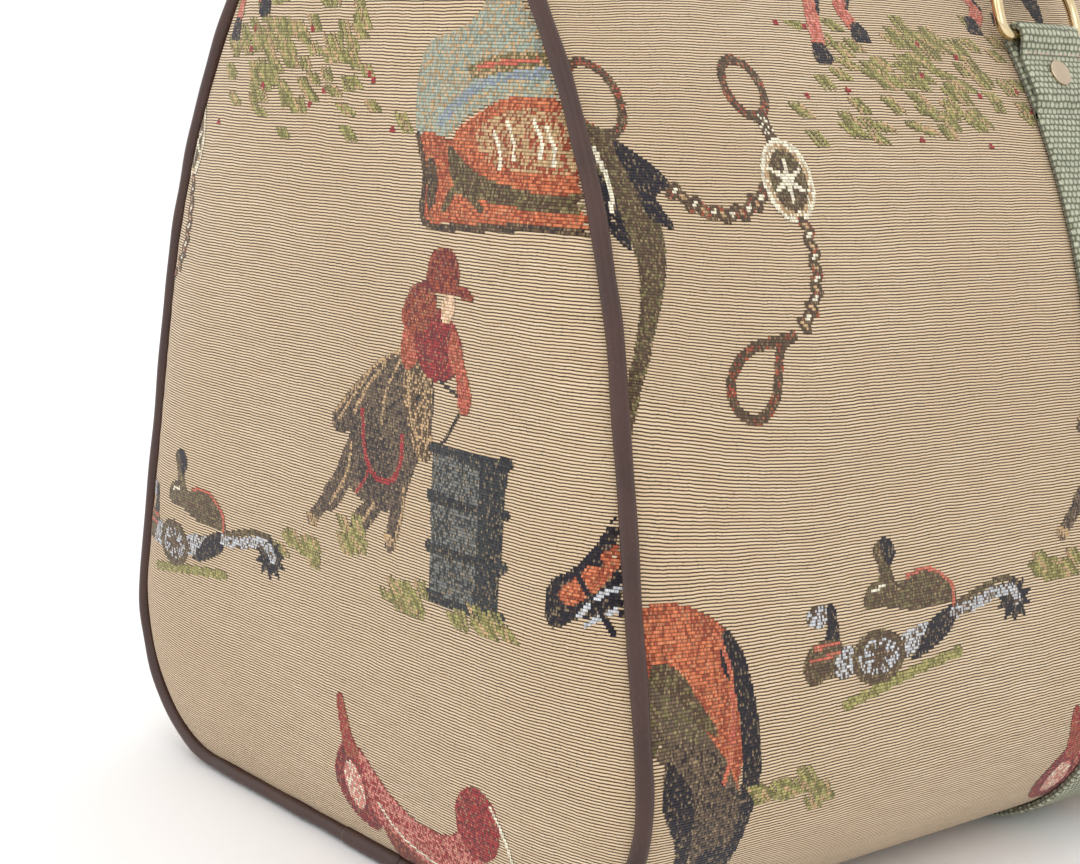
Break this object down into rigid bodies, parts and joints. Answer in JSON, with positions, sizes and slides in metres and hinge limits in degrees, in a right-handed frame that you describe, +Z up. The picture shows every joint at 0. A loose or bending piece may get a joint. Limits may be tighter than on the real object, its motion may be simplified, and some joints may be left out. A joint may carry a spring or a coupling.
{
  "type": "carpet bag",
  "caption": "Tapestry travel holdall with piped ends, a zipped crown, webbing straps run round the body, D-rings and two hinged webbing handles.",
  "frame": {"origin": "on the floor under the middle of the bag", "axes": "+X along the bag, +Z up, -Y is the front"},
  "size_m": [0.577, 0.267, 0.4111],
  "materials": {
    "tapestry": "ribbed tapestry weave",
    "piping_leather": "satin",
    "webbing": "coarse woven webbing",
    "ring_metal": "polished pale gold",
    "rivet_metal": "satin pale gold",
    "lining": "plain weave",
    "board": "matt",
    "zip_tape": "woven tape",
    "zip_metal": "satin"
  },
  "bodies": {
    "bag": {"back_left_rivet": "rivet_metal", "back_left_rivet_washer": "rivet_metal", "back_panel": "tapestry", "back_right_rivet": "rivet_metal", "back_right_rivet_washer": "rivet_metal", "back_zip_tape": "zip_tape", "back_zip_teeth": "zip_metal", "base_board": "board", "body_lining": "lining", "front_left_rivet": "rivet_metal", "front_left_rivet_washer": "rivet_metal", "front_panel": "tapestry", "front_right_rivet": "rivet_metal", "front_right_rivet_washer": "rivet_metal", "front_zip_tape": "zip_tape", "front_zip_teeth": "zip_metal", "left_end_lining": "lining", "left_end_panel": "tapestry", "left_piping": "piping_leather", "left_piping_join": "piping_leather", "left_strap": "webbing", "left_zip_stop": "zip_metal", "right_end_lining": "lining", "right_end_panel": "tapestry", "right_piping": "piping_leather", "right_piping_join": "piping_leather", "right_strap": "webbing", "right_zip_stop": "zip_metal"},
    "back_handle": {"back_handle": "webbing"},
    "back_left_ring": {"back_left_ring": "ring_metal"},
    "back_right_ring": {"back_right_ring": "ring_metal"},
    "front_handle": {"front_handle": "webbing"},
    "front_left_ring": {"front_left_ring": "ring_metal"},
    "front_right_ring": {"front_right_ring": "ring_metal"},
    "zip_pull": {"zip_pull": "zip_metal"},
    "zip_slider": {"zip_slider": "zip_metal"}
  },
  "joints": [
    {"name": "front_left_ring_swing", "type": "hinge", "parent": "bag", "child": "front_left_ring", "pos_m": [-0.09, -0.08064, 0.24158], "axis": [1, 0, 0], "range_deg": [-2, 120]},
    {"name": "front_right_ring_swing", "type": "hinge", "parent": "bag", "child": "front_right_ring", "pos_m": [0.09, -0.08064, 0.24158], "axis": [1, 0, 0], "range_deg": [-2, 120]},
    {"name": "front_handle_swing", "type": "hinge", "parent": "front_left_ring", "child": "front_handle", "pos_m": [-0.09, -0.07168, 0.26534], "axis": [1, 0, 0], "range_deg": [-2, 55]},
    {"name": "back_left_ring_swing", "type": "hinge", "parent": "bag", "child": "back_left_ring", "pos_m": [-0.09, 0.08064, 0.24158], "axis": [-1, 0, 0], "range_deg": [-2, 120]},
    {"name": "back_right_ring_swing", "type": "hinge", "parent": "bag", "child": "back_right_ring", "pos_m": [0.09, 0.08064, 0.24158], "axis": [-1, 0, 0], "range_deg": [-2, 120]},
    {"name": "back_handle_swing", "type": "hinge", "parent": "back_left_ring", "child": "back_handle", "pos_m": [-0.09, 0.07168, 0.26534], "axis": [-1, 0, 0], "range_deg": [-2, 55]},
    {"name": "zip_slide", "type": "slide", "parent": "bag", "child": "zip_slider", "axis": [-1, 0, 0], "range_m": [0, 0.49]},
    {"name": "zip_pull_flip", "type": "hinge", "parent": "zip_slider", "child": "zip_pull", "pos_m": [0.25, 0, 0.2919], "axis": [0, 1, 0], "range_deg": [0, 170]}
  ],
  "couplings": [
    {"joint": "front_right_ring_swing", "follows": "front_left_ring_swing", "ratio": 1},
    {"joint": "back_right_ring_swing", "follows": "back_left_ring_swing", "ratio": 1}
  ]
}
